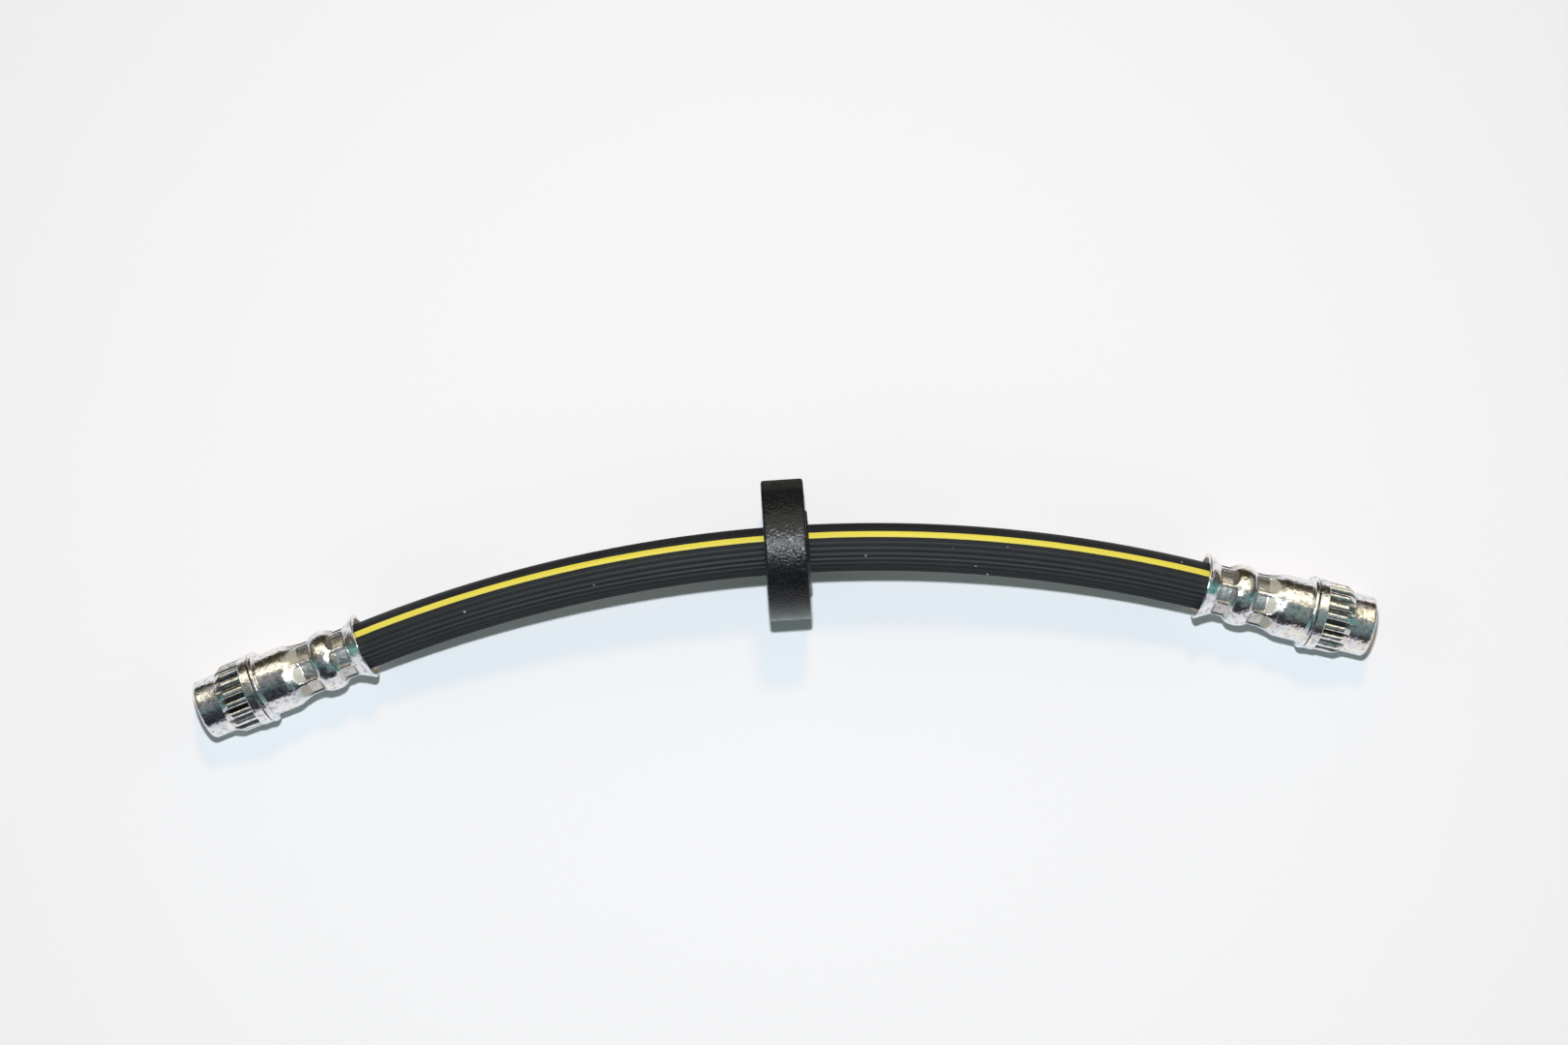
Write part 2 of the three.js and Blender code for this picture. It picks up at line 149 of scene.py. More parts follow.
def closed_surface(name, points, crease=math.radians(40)):
    """A mesh over a grid of points whose rows and columns both run round and meet themselves,
    with edges sharper than the crease angle left sharp."""
    rows, columns = points.shape[:2]
    row, column = np.meshgrid(np.arange(rows), np.arange(columns), indexing="ij")
    below, right = (row + 1) % rows, (column + 1) % columns
    corners = np.stack([
        row * columns + column,
        row * columns + right,
        below * columns + right,
        below * columns + column,
    ], -1).reshape(-1, 4)
    flat = points.reshape(-1, 3)
    first = flat[corners[:, 0]]
    normal = np.cross(flat[corners[:, 2]] - first, flat[corners[:, 3]] - flat[corners[:, 1]])
    if np.einsum("ij,ij->", flat[corners].mean(1) - flat.mean(0), normal) < 0:
        corners = corners[:, ::-1]
    mesh = bpy.data.meshes.new(name)
    mesh.vertices.add(len(flat))
    mesh.vertices.foreach_set("co", flat.astype(np.float32).ravel())
    mesh.loops.add(corners.size)
    mesh.loops.foreach_set("vertex_index", corners.astype(np.int32).ravel())
    mesh.polygons.add(len(corners))
    mesh.polygons.foreach_set("loop_start", np.arange(0, corners.size, 4, dtype=np.int32))
    mesh.polygons.foreach_set("use_smooth", np.ones(len(corners), bool))
    mesh.update(calc_edges=True)
    mesh.set_sharp_from_angle(angle=crease)
    piece = bpy.data.objects.new(name, mesh)
    bpy.context.collection.objects.link(piece)
    return piece, corners


def hose_grid():
    """The hose's surface: its section carried along the middle line. The wall's radius is less
    by the rib depth between the crests, which are a raised cosine of the angle, sharpened."""
    left_wall = np.array(SQUEEZED_WALL) - [0.0, half_length]
    left_bore = np.array(STRETCHED_BORE) - [0.0, half_length]
    mirrored = [1.0, -1.0]
    free_along = np.linspace(-half_free, half_free, WALL_STEPS)
    free_wall = np.stack([np.full(WALL_STEPS, HOSE_RADIUS), free_along], -1)
    bore_along = np.linspace(half_free, -half_free, BORE_STEPS)
    free_bore = np.stack([np.full(BORE_STEPS, HOSE_BORE_RADIUS), bore_along], -1)
    wall = np.concatenate([left_wall, free_wall, left_wall[::-1] * mirrored])
    outline = np.concatenate([wall, left_bore[::-1] * mirrored, free_bore, left_bore])
    radius, along, turned = turned_about(outline, even_angles(RIB_COUNT * RIB_SAMPLES))
    outward = (-turned) % (2 * math.pi)
    on_wall = (np.arange(len(outline)) < len(wall))[:, None]
    ribbed = on_wall & (np.abs(along) < half_free + RIBS_PAST_MOUTH)
    ribbed = ribbed & ((outward < SMOOTH_BAND[0]) | (outward > SMOOTH_BAND[1]))
    crest = (0.5 + 0.5 * np.cos(RIB_COUNT * turned)) ** RIB_SHARPNESS
    radius = radius - np.where(ribbed, RIB_DEPTH * (1.0 - crest), 0.0)
    point, direction = centreline(along)
    return round_line(point, np.cross(direction, arc_up), radius, turned), along, turned


class Nodes:
    """Adds nodes to a tree. Inputs are sockets to link or values to set."""

    def __init__(self, tree):
        self.tree = tree

    def fill(self, node, inputs):
        """Links or sets a node's inputs."""
        for key, value in inputs.items():
            if isinstance(value, bpy.types.NodeSocket):
                self.tree.links.new(value, node.inputs[key])
            else:
                node.inputs[key].default_value = value

    def add(self, kind, inputs=None, **properties):
        """A node with its properties and inputs set. Returns its outputs."""
        node = self.tree.nodes.new(kind)
        for key, value in properties.items():
            setattr(node, key, value)
        self.fill(node, inputs or {})
        return node.outputs

    def place(self):
        """The object's own coordinates."""
        return self.add("ShaderNodeTexCoord")["Object"]

    def parts(self, vector):
        """A vector's X, Y and Z."""
        return self.add("ShaderNodeSeparateXYZ", {"Vector": vector})

    def scaled(self, vector, scale):
        """A vector times another, part by part."""
        return self.add("ShaderNodeVectorMath", {0: vector, 1: scale}, operation="MULTIPLY")[0]

    def noise(self, vector, scale, detail, roughness=0.5):
        """Fractal noise as a number round a half."""
        return self.add("ShaderNodeTexNoise", {
            "Vector": vector, "Scale": scale, "Detail": detail, "Roughness": roughness,
        })["Fac"]

    def compute(self, operation, *values):
        """The result of one arithmetic operation on numbers."""
        return self.add("ShaderNodeMath", dict(enumerate(values)), operation=operation)[0]

    def remap(self, value, start, end, low=0.0, high=1.0):
        """The value's run from start to end carried to the run from low to high."""
        return self.add("ShaderNodeMapRange", {
            "Value": value, "From Min": start, "From Max": end, "To Min": low, "To Max": high,
        })["Result"]

    def mix(self, factor, first, second, blend_type="MIX"):
        """The first colour at factor 0, and the second at 1."""
        first, second = (
            colour if isinstance(colour, bpy.types.NodeSocket) else (*colour, 1.0)
            for colour in (first, second)
        )
        return self.add("ShaderNodeMix", {"Factor": factor, 6: first, 7: second},
                        data_type="RGBA", blend_type=blend_type)[2]

    def ramp(self, factor, stops):
        """A colour ramp through (position, colour) stops."""
        colour = self.add("ShaderNodeValToRGB", {"Fac": factor})["Color"]
        elements = colour.node.color_ramp.elements
        while len(elements) < len(stops):
            elements.new(0.5)
        for element, (position, stop_colour) in zip(elements, stops):
            element.position = position
            element.color = (*stop_colour, 1.0)
        return colour

    def attribute(self, name):
        """A number stored on the surface under a name."""
        return self.add("ShaderNodeAttribute", attribute_name=name)["Fac"]


def new_material(name):
    """A new material, its nodes and its Principled shader."""
    material = bpy.data.materials.new(name)
    material.use_nodes = True
    tree = material.node_tree
    return material, Nodes(tree), tree.nodes["Principled BSDF"]


def new_group(name, inputs, outputs):
    """A new node group and its nodes, with number inputs and with outputs of the given types."""
    group = bpy.data.node_groups.new(name, "ShaderNodeTree")
    for key in inputs:
        group.interface.new_socket(key, in_out="INPUT", socket_type="NodeSocketFloat")
    for key, kind in outputs.items():
        group.interface.new_socket(key, in_out="OUTPUT", socket_type=kind)
    return group, Nodes(group)


def dust_group():
    """Dust on rubber: soft patches of fine grain, and sparse pale specks, as two masks, and the
    grain alone for the rubber's own skin."""
    group, nodes = new_group(
        "rubber_dust", ("Patch Scale", "Grain Scale", "Speck Scale"),
        {"Dust": "NodeSocketFloat", "Grain": "NodeSocketFloat", "Speck": "NodeSocketFloat"},
    )
    inputs = nodes.add("NodeGroupInput")
    place = nodes.place()
    patch = nodes.noise(place, inputs["Patch Scale"], 3.0)
    grain = nodes.noise(place, inputs["Grain Scale"], 2.0)
    cells = nodes.add("ShaderNodeTexVoronoi", {"Vector": place, "Scale": inputs["Speck Scale"]})
    near = nodes.remap(cells["Distance"], 0.05, 0.12, 1.0, 0.0)
    chance = nodes.add("ShaderNodeSeparateColor", {"Color": cells["Color"]})["Red"]
    chosen = nodes.compute("GREATER_THAN", chance, 0.93)
    nodes.add("NodeGroupOutput", {
        "Dust": nodes.compute("MULTIPLY", patch, grain),
        "Grain": grain,
        "Speck": nodes.compute("MULTIPLY", near, chosen),
    })
    return group


dust = dust_group()


def hose_rubber():
    """Black extruded rubber. The UV map runs in metres along the hose and in turns round it, so
    the stripe is a band of the turn, and the extruder's streaks are noise drawn out along it.
    The ribs' crests are painted a lighter grey as a painted highlight."""
    material, nodes, principled = new_material("hose_rubber")
    uv = nodes.add("ShaderNodeUVMap", uv_map="along_and_round")["UV"]
    turn = nodes.parts(uv)["Y"]
    streak = nodes.noise(nodes.scaled(uv, (14.0, 120.0, 1.0)), 1.0, 4.0)
    grime = nodes.add("ShaderNodeGroup", {
        "Patch Scale": 90.0, "Grain Scale": 3200.0, "Speck Scale": 420.0,
    }, node_tree=dust)

    edge = nodes.noise(uv, 260.0, 2.0)
    wobble = nodes.compute("MULTIPLY_ADD", edge, 2 * STRIPE_WOBBLE, -STRIPE_WOBBLE)
    wobbled = nodes.compute("ADD", turn, wobble)
    away = nodes.compute("SUBTRACT", wobbled, STRIPE_PLACE / (2 * math.pi))
    half_width = STRIPE_WIDTH / 2 / (2 * math.pi * HOSE_RADIUS)
    stripe = nodes.remap(nodes.compute("ABSOLUTE", away),
                         half_width - STRIPE_BLUR, half_width + STRIPE_BLUR, 1.0, 0.0)

    # Painted highlight: away from the smooth band, the ribs' crests are painted a lighter grey.
    rib_wave = nodes.compute("COSINE", nodes.compute("MULTIPLY", turn, 2 * math.pi * RIB_COUNT))
    crest_highlight = nodes.remap(rib_wave, 0.55, 1.0, 0.0, 0.75)
    past_start = nodes.compute("GREATER_THAN", turn, SMOOTH_BAND[0] / (2 * math.pi))
    before_end = nodes.compute("LESS_THAN", turn, SMOOTH_BAND[1] / (2 * math.pi))
    smooth = nodes.compute("MULTIPLY", past_start, before_end)
    crest_sheen = nodes.compute("MULTIPLY", crest_highlight, nodes.compute("SUBTRACT", 1.0, smooth))

    plain = nodes.ramp(streak, [
        (0.30, (0.005, 0.006, 0.007)), (0.52, (0.009, 0.010, 0.012)), (0.72, (0.018, 0.020, 0.023)),
    ])
    rubber = nodes.mix(crest_sheen, plain, (0.025, 0.029, 0.033))
    dusty = nodes.mix(grime["Dust"], rubber, (0.026, 0.030, 0.033))
    yellow = nodes.ramp(streak, [
        (0.30, (0.66, 0.58, 0.06)), (0.55, (0.76, 0.67, 0.085)), (0.75, (0.82, 0.73, 0.14)),
    ])
    painted = nodes.mix(stripe, dusty, yellow)
    lifted = nodes.compute("ADD", grime["Grain"], stripe)
    bump = nodes.add("ShaderNodeBump", {"Height": lifted, "Strength": 0.25, "Distance": 0.00008})
    nodes.fill(principled, {
        "Base Color": nodes.mix(grime["Speck"], painted, (0.55, 0.6, 0.62)),
        "Roughness": nodes.remap(streak, 0.25, 0.75, 0.48, 0.66),
        "Specular IOR Level": 0.28,
        "Normal": bump["Normal"],
    })
    return material


hose_points, hose_along, hose_angle = hose_grid()
hose, hose_corners = closed_surface("brake_hose_tube", hose_points)
uv_layer = hose.data.uv_layers.new(name="along_and_round")
round_turns = ((-hose_angle) % (2 * math.pi)) / (2 * math.pi)
corner_turns = round_turns.ravel()[hose_corners]
past_seam = (corner_turns == 0.0) & (corner_turns.max(1, keepdims=True) > 0.5)
corner_turns = np.where(past_seam, 1.0, corner_turns)
corner_uv = np.stack([hose_along.ravel()[hose_corners], corner_turns], -1)
uv_layer.data.foreach_set("uv", corner_uv.astype(np.float32).ravel())
hose.data.materials.append(hose_rubber())
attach(hose, "root")
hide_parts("hose")

# Fitting body: turned from steel bar and zinc plated. Its nose holds the threaded port, its
# toothed collar keys it into a bracket, its flange band stops it there, and its spigot and
# barbed nipple, hidden in the shell, hold the shell's floor and the hose's bore.
MM = 0.001
NOSE_RADIUS, NOSE_END = 6.7, 5.3
NOSE_CORNER = ((0.55, 0.0), (0.3, 0.1), (0.1, 0.3), (0.0, 0.55))  # (in from the nose, along it)
NOSE_FOOT = 0.1
PORT_RADIUS, PORT_DEPTH, PORT_CHAMFER, PORT_MOUTH_RADIUS = 4.5, 11.0, 0.6, 5.15
THREAD_DEPTH, THREAD_PITCH, THREAD_RUNOUT = 0.54, 1.0, 1.2
THREAD_STEEPNESS, THREAD_CREST, THREAD_FADE, THREAD_STEP = 1.25, 0.1, 0.6, 0.1
PASSAGE_RADIUS, SEAT_END = 1.1, 13.043
TOOTH_COUNT, TOOTH_ROOT, TOOTH_TIP = 18, 6.85, 7.75
TOOTH_TOP_WIDTH, TOOTH_VALLEY_WIDTH, TOOTH_LEAD, TEETH_END = 1.25, 0.4, 1.7, 11.4
LEAD_STEPS, LEAD_OVERRUN, CORNER_STEP = 18, 1.2, 0.008
BAND_RADIUS, BAND_END, BAND_ROUND = 7.95, 13.6, 0.15
NECK_RADIUS, STAKE_RADIUS, STAKE_START, STAKE_END = 4.2, 4.8, 15.4, 16.2
NIPPLE_RADIUS, BARB_DEPTH, BARB_START, BARB_PITCH, BARB_COUNT = 1.75, 0.2, 21.7, 2.6, 5
EDGE_SOFTNESS, TIP_SOFTNESS = 0.05, 0.45
# Painted shade, near black, in the teeth's valleys and the port's thread: where it starts below the
# tips, where it is full, and its strength in the thread.
SHADE_START, SHADE_RUN = 0.32, 0.45  # where it starts below the tips, and is full after that
THREAD_SHADE = 0.6
# The worn tips also carry a painted cream reflection; these place it and give its strength.
WEAR_AND_SHEEN_START, WEAR_AND_SHEEN_RUN = 0.40, 0.2  # the same, counted up to the tips
TIP_WEAR_AND_SHEEN = 0.12
TOOTH_TURN = {"left": math.radians(7), "right": math.radians(19.5)}
BODY_CREASE = math.radians(25)

tooth_half_pitch = math.pi / TOOTH_COUNT
tooth_top = TOOTH_TOP_WIDTH / 2 / TOOTH_TIP  # angle from a tooth's middle to its flank
tooth_foot = tooth_half_pitch - TOOTH_VALLEY_WIDTH / 2 / TOOTH_ROOT


def soft_min(first, second, softness):
    """The smaller of two lengths, with the corner between them rounded over the softness."""
    return (first + second - np.sqrt((first - second) ** 2 + softness**2)) / 2


def soft_max(first, second, softness):
    """The larger of two lengths, with the corner between them rounded over the softness."""
    return (first + second + np.sqrt((first - second) ** 2 + softness**2)) / 2


def keep_layer(piece, name, values):
    """Stores a number from 0 to 1 at each point, for the material to read under a name."""
    layer = piece.data.attributes.new(name, "FLOAT", "POINT")
    layer.data.foreach_set("value", values.astype(np.float32).ravel())


def round_fitting(end, turn, radius, station, angle):
    """A point of a fitting, from millimetres: station along its axis from the port face, radius
    from that axis, and angle round it, counted from the given turn off the arc's top."""
    port, direction = centreline(end * half_length)
    inward = -end * direction
    on_axis = port + (station * MM)[..., None] * inward
    return round_line(on_axis, np.cross(inward, arc_up), radius * MM, angle + end * turn)


def tooth_angles():
    """Angles round the collar, closer together at the corners of each tooth."""
    after_middle = [
        tooth_top / 2, tooth_top - 4 * CORNER_STEP, tooth_top - 2 * CORNER_STEP, tooth_top,
        tooth_top + 2 * CORNER_STEP, (tooth_top + tooth_foot) / 2,
        tooth_foot - CORNER_STEP, tooth_foot, tooth_foot + CORNER_STEP,
    ]
    before_middle = [-offset for offset in reversed(after_middle)]
    offsets = np.array(before_middle + [0.0] + after_middle + [tooth_half_pitch])
    return (np.arange(TOOTH_COUNT)[:, None] * 2 * tooth_half_pitch + offsets).ravel()


def tooth_radius(station, angle):
    """Radius of the toothed collar: a trapezoid wave between root and tip round the axis, cut
    down at the front by the lead cone."""
    away = np.abs((angle + tooth_half_pitch) % (2 * tooth_half_pitch) - tooth_half_pitch)
    height = TOOTH_TIP - TOOTH_ROOT
    flank = TOOTH_TIP - height * (away - tooth_top) / (tooth_foot - tooth_top)
    wave = soft_max(soft_min(flank, TOOTH_TIP, TIP_SOFTNESS), TOOTH_ROOT, EDGE_SOFTNESS)
    cone = TOOTH_ROOT + (station - NOSE_END) * height / TOOTH_LEAD
    return soft_max(soft_min(wave, cone, EDGE_SOFTNESS), TOOTH_ROOT, 0.0)


def thread_radius(station, angle):
    """Radius of the port's wall: a helical groove of triangular section, fading out at the
    chamfer and at the bottom of the thread."""
    turn = (station / THREAD_PITCH + angle / (2 * math.pi)) % 1.0
    groove = THREAD_STEEPNESS * (1.0 - np.abs(2.0 * turn - 1.0)) - THREAD_CREST
    fade = np.clip((station - PORT_CHAMFER + THREAD_FADE / 2) / THREAD_FADE, 0.0, 1.0)
    fade = fade * np.clip((PORT_DEPTH - THREAD_RUNOUT - station) / THREAD_PITCH, 0.0, 1.0)
    return PORT_RADIUS + THREAD_DEPTH * np.clip(groove, 0.0, 1.0) * fade


def body_outline():
    """The turned profile as (radius, station, kind), kind 1 on the teeth and 2 on the thread."""
    face = [(PORT_MOUTH_RADIUS, 0.0)]
    face += [(NOSE_RADIUS - inward, along) for inward, along in NOSE_CORNER]
    face += [
        (NOSE_RADIUS, 1.0), (NOSE_RADIUS, NOSE_END - NOSE_FOOT),
        (NOSE_RADIUS + NOSE_FOOT / 5, NOSE_END - NOSE_FOOT / 5),
    ]
    lead = np.linspace(NOSE_END, NOSE_END + TOOTH_LEAD * LEAD_OVERRUN, LEAD_STEPS)
    band = [
        (BAND_RADIUS - BAND_ROUND, TEETH_END),
        (BAND_RADIUS - BAND_ROUND / 3, TEETH_END + BAND_ROUND / 3),
        (BAND_RADIUS, TEETH_END + BAND_ROUND), (BAND_RADIUS, BAND_END - BAND_ROUND),
        (BAND_RADIUS - BAND_ROUND / 3, BAND_END - BAND_ROUND / 3),
        (BAND_RADIUS - BAND_ROUND, BAND_END),
    ]
    spigot = [
        (NECK_RADIUS, BAND_END), (NECK_RADIUS, STAKE_START), (STAKE_RADIUS, STAKE_START),
        (STAKE_RADIUS, STAKE_END), (NIPPLE_RADIUS, STAKE_END), (NIPPLE_RADIUS, BARB_START),
    ]
    barbs = []
    for crest in BARB_START + np.arange(BARB_COUNT) * BARB_PITCH:
        barbs += [(NIPPLE_RADIUS - BARB_DEPTH, crest), (NIPPLE_RADIUS, crest + BARB_PITCH)]
    nipple_end = NIPPLE_END / MM
    tip = [
        (NIPPLE_RADIUS, nipple_end - BARB_DEPTH), (NIPPLE_RADIUS - BARB_DEPTH, nipple_end),
        (PASSAGE_RADIUS, nipple_end), (PASSAGE_RADIUS, SEAT_END), (PORT_RADIUS, PORT_DEPTH),
    ]
    thread = np.arange(PORT_DEPTH - 4 * THREAD_STEP, PORT_CHAMFER, -THREAD_STEP)
    rows = [(r, s, 0) for r, s in face]
    rows += [(TOOTH_ROOT, s, 1) for s in (*lead, TEETH_END - 2 * BAND_ROUND, TEETH_END)]
    rows += [(r, s, 0) for r, s in band + spigot + barbs + tip]
    rows += [(PORT_RADIUS, s, 2) for s in thread]
    return np.array(rows + [(PORT_RADIUS, PORT_CHAMFER, 0)])


def fitting_body(name, end, turn):
    """The profile turned about the axis, with its teeth and thread. Painted shade, near black, lies
    in the valleys and in the thread, and the teeth's tips are a little worn and carry a faint
    painted cream reflection."""
    radius, station, kind, angle = turned_about(body_outline(), tooth_angles())
    radius = np.where(kind == 1, tooth_radius(station, angle), radius)
    radius = np.where(kind == 2, thread_radius(station, angle), radius)
    piece = closed_surface(name, round_fitting(end, turn, radius, station, angle), BODY_CREASE)[0]
    opened = np.clip((station - NOSE_END) / TOOTH_LEAD, 0.0, 1.0)
    # Painted shade: darker with depth in the teeth's valleys and in the thread's groove.
    sunk = opened * np.clip((TOOTH_TIP - SHADE_START - radius) / SHADE_RUN, 0.0, 1.0)
    thread = THREAD_SHADE * np.clip((radius - PORT_RADIUS) / THREAD_DEPTH, 0.0, 1.0)
    # The worn tips' mark: duller and beige, the beige partly a painted cream reflection.
    crest_sheen = opened * np.clip((radius - TOOTH_TIP + WEAR_AND_SHEEN_START) / WEAR_AND_SHEEN_RUN, 0.0, 1.0)
    keep_layer(piece, "painted_shade", np.where(kind == 1, sunk, np.where(kind == 2, thread, 0.0)))
    keep_layer(piece, "pressed", np.where(kind == 1, TIP_WEAR_AND_SHEEN * crest_sheen, 0.0))
    return piece


def zinc_group():
    """Bright zinc plate: patches of pale yellow, green and lilac passivation, a fine mottle in
    brightness and gloss that is also the plating's height, duller and darker beige steel where a
    jaw has pressed or a tip is worn, the beige partly a painted cream reflection, and near-black
    painted shade in the recesses."""
    group, nodes = new_group(
        "zinc_plate", ("Patch Scale", "Mottle Scale", "Gloss", "Painted Shade", "Pressed And Sheen"),
        {"Colour": "NodeSocketColor", "Roughness": "NodeSocketFloat", "Height": "NodeSocketFloat"},
    )
    inputs = nodes.add("NodeGroupInput")
    place = nodes.place()
    patch = nodes.noise(place, inputs["Patch Scale"], 3.0, 0.6)
    mottle = nodes.noise(place, inputs["Mottle Scale"], 3.0, 0.55)
    tint = nodes.ramp(patch, [
        (0.30, (0.70, 0.80, 0.79)), (0.42, (0.84, 0.85, 0.86)), (0.52, (0.89, 0.87, 0.89)),
        (0.62, (0.92, 0.88, 0.78)), (0.74, (0.87, 0.83, 0.90)),
    ])
    shade = nodes.ramp(mottle, [
        (0.36, (0.56, 0.57, 0.58)), (0.46, (0.94, 0.94, 0.94)), (0.60, (1.0, 1.0, 1.0)),
    ])
    plated = nodes.mix(1.0, tint, shade, "MULTIPLY")
    # Jaw marks and worn tips turn a dull beige, partly real wear and partly a painted cream
    # reflection.
    marked_and_sheen = nodes.mix(inputs["Pressed And Sheen"], plated, (0.54, 0.505, 0.44))
    # Painted shade, near black, darkens the recesses by the attribute's amount.
    painted_shade_amount = nodes.compute("MULTIPLY", inputs["Painted Shade"], 0.9)
    gloss = nodes.compute("MULTIPLY_ADD", mottle, -0.20, inputs["Gloss"])
    nodes.add("NodeGroupOutput", {
        "Colour": nodes.mix(painted_shade_amount, marked_and_sheen, (0.045, 0.050, 0.042)),
        "Roughness": nodes.compute("MULTIPLY_ADD", inputs["Pressed And Sheen"], 0.62, gloss),
        "Height": mottle,
    })
    return group


zinc = zinc_group()


def zinc_material(name, patch_scale, mottle_scale, gloss, bump_depth):
    """Plated steel: the zinc group's colour and gloss on metal, with its height as a fine bump."""
    material, nodes, principled = new_material(name)
    # The attributes bring painted shade in the recesses, and jaw marks and worn tips whose beige is
    # partly a painted cream reflection.
    plate = nodes.add("ShaderNodeGroup", {
        "Patch Scale": patch_scale, "Mottle Scale": mottle_scale, "Gloss": gloss,
        "Painted Shade": nodes.attribute("painted_shade"), "Pressed And Sheen": nodes.attribute("pressed"),
    }, node_tree=zinc)
    bump = nodes.add("ShaderNodeBump", {
        "Height": plate["Height"], "Strength": 0.6, "Distance": bump_depth,
    })
    nodes.fill(principled, {
        "Base Color": plate["Colour"],
        "Metallic": 1.0,
        "Roughness": plate["Roughness"],
        "Normal": bump["Normal"],
    })
    return material


turned_zinc = zinc_material("turned_zinc", 260.0, 950.0, 0.20, 0.00018)
bodies = {}
for side, end in (("left", -1), ("right", 1)):
    bodies[side] = fitting_body(f"{side}_port_end", end, TOOTH_TURN[side])
    bodies[side].data.materials.append(turned_zinc)
    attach(bodies[side], "root")
    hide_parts(f"{side}_fitting_body")

# Crimp shell: a drawn steel cup of 1 mm wall, staked behind the flange band. Two rings of eight
# jaws press it onto the hose: the rear ring leaves flats and slopes, the front ring flats, and
# the wall stands out as a bulge between them and as a flared mouth at the end.
RIM_RADIUS, RIM_ROUND, SHELL_START, RIM_END, FILLET_END = 8.15, 0.3, 13.9, 14.8, 15.1
BARREL_RADIUS, BARREL_END, SHELL_WALL, FLOOR_END = 6.95, 21.7, 1.0, 15.1
SHOULDER_RADIUS, SHOULDER_START = 6.6, 19.6
REAR_START, REAR_END, FRONT_START, FRONT_END = 24.7, 27.1, 32.9, 35.3
REAR_FLAT, FRONT_FLAT, CORNER_RADIUS_REAR, CORNER_RADIUS_FRONT = 5.45, 5.15, 5.97, 5.66
BULGE_RADIUS, MOUTH_RADIUS, MOUTH_INNER, MOUTH_ROUND = 6.70, 7.35, 6.35, 0.35
MOUTH_END = FITTING_LENGTH / MM
SHELL_TURN = math.radians(10.5)
JAW_COUNT = 8
JAW_SIDES = 36
JAW_HALF_ANGLE = math.radians(17.0)
RIDGE_WIDTH = math.radians(4.5)
RIDGE_HEIGHT = 0.45
JAW_CROWN = 0.12
RAMP_SLOPE = (SHOULDER_RADIUS - REAR_FLAT) / (REAR_START - BARREL_END)
WALL_SLOPE = 1.1
PRESS_SOFTNESS = 0.07
ROW_SPACING = 0.2
MARK_DEPTH = 0.15  # pressed in by this much, the wall shows the jaw's mark in full
# Strength of the painted shade on the rings' pressed flats.
FLAT_SHADE = 0.24
# Strength of the front ring's jaw marks and their painted cream reflection.
FRONT_MARK_AND_SHEEN = 0.35
SHELL_CREASE = math.radians(30)


def jaw_distance(station):
    """Distance of the jaws' faces from the axis: level over each ring's flats, rising steeply
    beyond them, and rising as a gentle slope on the rear ring's barrel side."""
    rear = REAR_FLAT + RAMP_SLOPE * np.maximum(REAR_START - station, 0)
    rear = rear + WALL_SLOPE * np.maximum(station - REAR_END, 0)
    front = FRONT_FLAT + WALL_SLOPE * np.maximum(FRONT_START - station, 0)
    front = front + WALL_SLOPE * np.maximum(station - FRONT_END, 0)
    return np.minimum(rear, front)


def from_jaw(angle):
    """Angle from the middle of the nearest jaw."""
    pitch = 2 * math.pi / JAW_COUNT
    return np.abs((angle + pitch / 2) % pitch - pitch / 2)


def ridge_rise(angle):
    """0 on a jaw's flat, growing to 1 over a ridge's width beyond its edge."""
    return np.clip((from_jaw(angle) - JAW_HALF_ANGLE) / RIDGE_WIDTH, 0.0, 1.0)


def pressed(radius, station, angle):
    """Radius after crimping: the cup's radius or the nearest jaw's face, whichever is less. The
    face is a plane less a crown that grows with the square of the angle from its middle, and is
    let out between two jaws, where the metal stands up as a ridge."""
    away = from_jaw(angle)
    crown = JAW_CROWN * np.minimum(away / JAW_HALF_ANGLE, 1.0) ** 2
    rise = ridge_rise(angle)
    ridge = RIDGE_HEIGHT * rise**2 * (3 - 2 * rise)
    return soft_min(radius, jaw_distance(station) / np.cos(away) - crown + ridge, PRESS_SOFTNESS)


def bezier(start, first, second, end, steps):
    """Points of a cubic curve, without its last one, weighted by the four Bernstein terms."""
    t = np.linspace(0.0, 1.0, steps, endpoint=False)[:, None]
    start, first, second, end = (np.array(p, float) for p in (start, first, second, end))
    near = (1 - t) ** 3 * start + 3 * (1 - t) ** 2 * t * first
    return near + 3 * (1 - t) * t**2 * second + t**3 * end


def divided(line, longest):
    """A line of points with more added on its straight runs, none further apart than longest."""
    pieces = []
    for start, end in zip(line[:-1], line[1:]):
        steps = max(1, math.ceil(np.linalg.norm(end - start) / longest))
        pieces.append(start + np.arange(steps)[:, None] / steps * (end - start))
    return np.concatenate([*pieces, line[-1:]])


